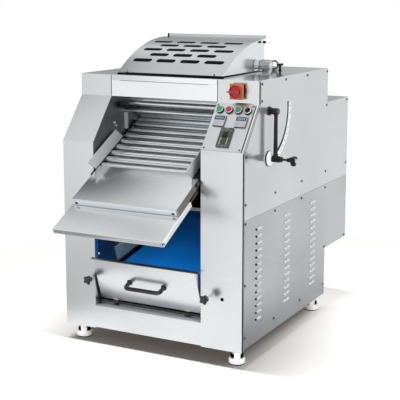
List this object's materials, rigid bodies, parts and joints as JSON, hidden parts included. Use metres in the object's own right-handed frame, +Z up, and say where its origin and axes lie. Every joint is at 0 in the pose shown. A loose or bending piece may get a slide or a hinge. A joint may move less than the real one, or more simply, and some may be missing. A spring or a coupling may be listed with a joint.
{
  "type": "dough press",
  "caption": "Floor-standing dough press with a sloping roller table and sliding tray, geared press rolls set by a side lever, a return conveyor, a slotted hood and a front flap.",
  "frame": {"origin": "on the floor under the middle of the bounding box of the whole machine at rest", "axes": "+X to the right seen from the operator's side, +Y to the back, +Z up"},
  "size_m": [0.9402, 1.4538, 1.268],
  "materials": {
    "satin_stainless": "satin brushed stainless sheet",
    "bright_stainless": "bright polished stainless",
    "frame_steel": "grey painted steel",
    "wall_steel": "ground stainless plate",
    "polished_roll": "hard chromed and polished",
    "turned_steel": "turned steel",
    "gear_steel": "oiled dark steel",
    "motor_paint": "blue-grey paint",
    "blue_belt": "smooth blue conveyor belt",
    "black_plastic": "fine-grained black plastic",
    "black_lever": "black coated steel",
    "white_plastic": "white plastic",
    "pale_bezel": "pale grey plastic",
    "green_plastic": "glossy green plastic",
    "red_plastic": "glossy red plastic",
    "yellow_plastic": "glossy orange-yellow plastic",
    "dark_case": "dark instrument case",
    "keypad_film": "dark grey keypad film",
    "chrome": "chromed"
  },
  "bodies": {
    "frame": {"base_frame": "frame_steel", "wall_plates": "wall_steel", "left_front_cover": "satin_stainless", "right_front_cover": "satin_stainless", "lower_front_panel": "satin_stainless", "front_fascia": "satin_stainless", "right_upper_panel": "satin_stainless", "right_lower_panel": "satin_stainless", "left_side_panel": "satin_stainless", "top_plate": "bright_stainless", "rear_covers": "satin_stainless", "panel_screws": "bright_stainless", "feet": "white_plastic", "roll_bearings": "gear_steel", "scrapers": "bright_stainless", "table_rails": "wall_steel", "upper_tray": "satin_stainless", "conveyor_belt": "blue_belt", "belt_guides": "satin_stainless", "geared_motor": "motor_paint", "hinge_bearings": "bright_stainless", "lifting_eyes": "chrome", "flap_rod": "turned_steel", "control_panel": "bright_stainless", "button_bezels": "pale_bezel", "counters": "dark_case", "keypad": "keypad_film", "switch_plate": "yellow_plastic", "cable_gland": "black_plastic"},
    "hood": {"hood_cover": "satin_stainless", "hood_cheeks": "satin_stainless"},
    "bin_flap": {"bin_flap": "satin_stainless", "flap_handle": "chrome"},
    "lower_tray": {"lower_tray": "satin_stainless"},
    "lower_roll": {"lower_roll": "polished_roll", "lower_roll_gear": "gear_steel"},
    "gap_carriage": {"bearing_blocks": "gear_steel"},
    "upper_roll": {"upper_roll": "polished_roll", "upper_roll_gear": "gear_steel"},
    "gap_lever": {"gap_shaft": "turned_steel", "gap_lever": "black_lever"},
    "clamp_knob": {"clamp_knob": "black_plastic"},
    "drive_pinion": {"drive_pinion": "gear_steel"},
    "front_drum": {"front_drum": "turned_steel"},
    "rear_drum": {"rear_drum": "turned_steel"},
    "left_star_knob": {"left_star_knob": "black_plastic"},
    "right_star_knob": {"right_star_knob": "black_plastic"},
    "switch_knob": {"switch_knob": "red_plastic"},
    "selector_knob": {"selector_knob": "black_plastic"},
    "start_button": {"start_button": "green_plastic"},
    "stop_button": {"stop_button": "red_plastic"},
    "jog_button": {"jog_button": "green_plastic"},
    "table_roller_1": {"table_roller_1": "turned_steel"},
    "table_roller_2": {"table_roller_2": "turned_steel"},
    "table_roller_3": {"table_roller_3": "turned_steel"},
    "table_roller_4": {"table_roller_4": "turned_steel"},
    "table_roller_5": {"table_roller_5": "turned_steel"},
    "table_roller_6": {"table_roller_6": "turned_steel"},
    "table_roller_7": {"table_roller_7": "turned_steel"},
    "table_roller_8": {"table_roller_8": "turned_steel"}
  },
  "joints": [
    {"name": "hood_hinge", "type": "hinge", "parent": "frame", "child": "hood", "pos_m": [-0.0739, 0.10086, 1.148], "axis": [-1, 0, 0], "range_deg": [0, 65]},
    {"name": "flap_hinge", "type": "hinge", "parent": "frame", "child": "bin_flap", "pos_m": [-0.0739, -0.38914, 0.178], "axis": [1, 0, 0], "range_deg": [-4, 70]},
    {"name": "tray_slide", "type": "slide", "parent": "frame", "child": "lower_tray", "axis": [0, 0.8886, 0.4587], "range_m": [-0.03, 0.12]},
    {"name": "lower_roll_spin", "type": "hinge", "parent": "frame", "child": "lower_roll", "pos_m": [-0.0739, -0.02236, 0.8765], "axis": [1, 0, 0], "continuous": true},
    {"name": "gap_slide", "type": "slide", "parent": "frame", "child": "gap_carriage", "axis": [0, -0.4587, 0.8886], "range_m": [0, 0.014]},
    {"name": "upper_roll_spin", "type": "hinge", "parent": "gap_carriage", "child": "upper_roll", "pos_m": [-0.0739, -0.0806, 0.98935], "axis": [1, 0, 0], "continuous": true},
    {"name": "gap_lever_turn", "type": "hinge", "parent": "frame", "child": "gap_lever", "pos_m": [0.3521, -0.1892, 0.99005], "axis": [1, 0, 0], "range_deg": [0, 95]},
    {"name": "clamp_knob_turn", "type": "hinge", "parent": "gap_lever", "child": "clamp_knob", "pos_m": [0.4121, -0.1892, 0.80005], "axis": [1, 0, 0], "continuous": true},
    {"name": "pinion_spin", "type": "hinge", "parent": "frame", "child": "drive_pinion", "pos_m": [-0.3839, -0.02236, 0.75857], "axis": [1, 0, 0], "continuous": true},
    {"name": "front_drum_spin", "type": "hinge", "parent": "frame", "child": "front_drum", "pos_m": [-0.0739, -0.29914, 0.25], "axis": [1, 0, 0], "continuous": true},
    {"name": "rear_drum_spin", "type": "hinge", "parent": "frame", "child": "rear_drum", "pos_m": [-0.0739, 0.38586, 0.375], "axis": [1, 0, 0], "continuous": true},
    {"name": "table_roller_1_spin", "type": "hinge", "parent": "frame", "child": "table_roller_1", "pos_m": [-0.0739, -0.10152, 0.88572], "axis": [1, 0, 0], "continuous": true},
    {"name": "table_roller_2_spin", "type": "hinge", "parent": "frame", "child": "table_roller_2", "pos_m": [-0.0739, -0.14048, 0.86561], "axis": [1, 0, 0], "continuous": true},
    {"name": "table_roller_3_spin", "type": "hinge", "parent": "frame", "child": "table_roller_3", "pos_m": [-0.0739, -0.17944, 0.8455], "axis": [1, 0, 0], "continuous": true},
    {"name": "table_roller_4_spin", "type": "hinge", "parent": "frame", "child": "table_roller_4", "pos_m": [-0.0739, -0.21839, 0.82539], "axis": [1, 0, 0], "continuous": true},
    {"name": "table_roller_5_spin", "type": "hinge", "parent": "frame", "child": "table_roller_5", "pos_m": [-0.0739, -0.25735, 0.80529], "axis": [1, 0, 0], "continuous": true},
    {"name": "table_roller_6_spin", "type": "hinge", "parent": "frame", "child": "table_roller_6", "pos_m": [-0.0739, -0.29631, 0.78518], "axis": [1, 0, 0], "continuous": true},
    {"name": "table_roller_7_spin", "type": "hinge", "parent": "frame", "child": "table_roller_7", "pos_m": [-0.0739, -0.33526, 0.76507], "axis": [1, 0, 0], "continuous": true},
    {"name": "table_roller_8_spin", "type": "hinge", "parent": "frame", "child": "table_roller_8", "pos_m": [-0.0739, -0.37422, 0.74497], "axis": [1, 0, 0], "continuous": true},
    {"name": "left_star_knob_turn", "type": "hinge", "parent": "frame", "child": "left_star_knob", "pos_m": [-0.3349, -0.44914, 0.279], "axis": [0, -1, 0], "continuous": true},
    {"name": "right_star_knob_turn", "type": "hinge", "parent": "frame", "child": "right_star_knob", "pos_m": [0.2161, -0.44914, 0.279], "axis": [0, -1, 0], "continuous": true},
    {"name": "switch_turn", "type": "hinge", "parent": "frame", "child": "switch_knob", "pos_m": [0.2641, -0.31564, 1.0725], "axis": [0, 1, 0], "range_deg": [0, 90]},
    {"name": "selector_turn", "type": "hinge", "parent": "frame", "child": "selector_knob", "pos_m": [0.3181, -0.31734, 1.00378], "axis": [0, 0.7768, -0.6298], "range_deg": [-45, 45]},
    {"name": "start_button_press", "type": "slide", "parent": "frame", "child": "start_button", "axis": [0, 0.7768, -0.6298], "range_m": [0, 0.0035], "stiffness_N_per_m": 600, "springref_m": -0.002},
    {"name": "stop_button_press", "type": "slide", "parent": "frame", "child": "stop_button", "axis": [0, 0.7768, -0.6298], "range_m": [0, 0.0035], "stiffness_N_per_m": 600, "springref_m": -0.002},
    {"name": "jog_button_press", "type": "slide", "parent": "frame", "child": "jog_button", "axis": [0, 0.7768, -0.6298], "range_m": [0, 0.0035], "stiffness_N_per_m": 600, "springref_m": -0.002}
  ],
  "couplings": [
    {"joint": "upper_roll_spin", "follows": "lower_roll_spin", "ratio": -1},
    {"joint": "pinion_spin", "follows": "lower_roll_spin", "ratio": -1.1667},
    {"joint": "front_drum_spin", "follows": "lower_roll_spin", "ratio": -1.5309},
    {"joint": "rear_drum_spin", "follows": "lower_roll_spin", "ratio": -1.5309},
    {"joint": "gap_lever_turn", "follows": "gap_slide", "rad_per_m": 118.43}
  ]
}
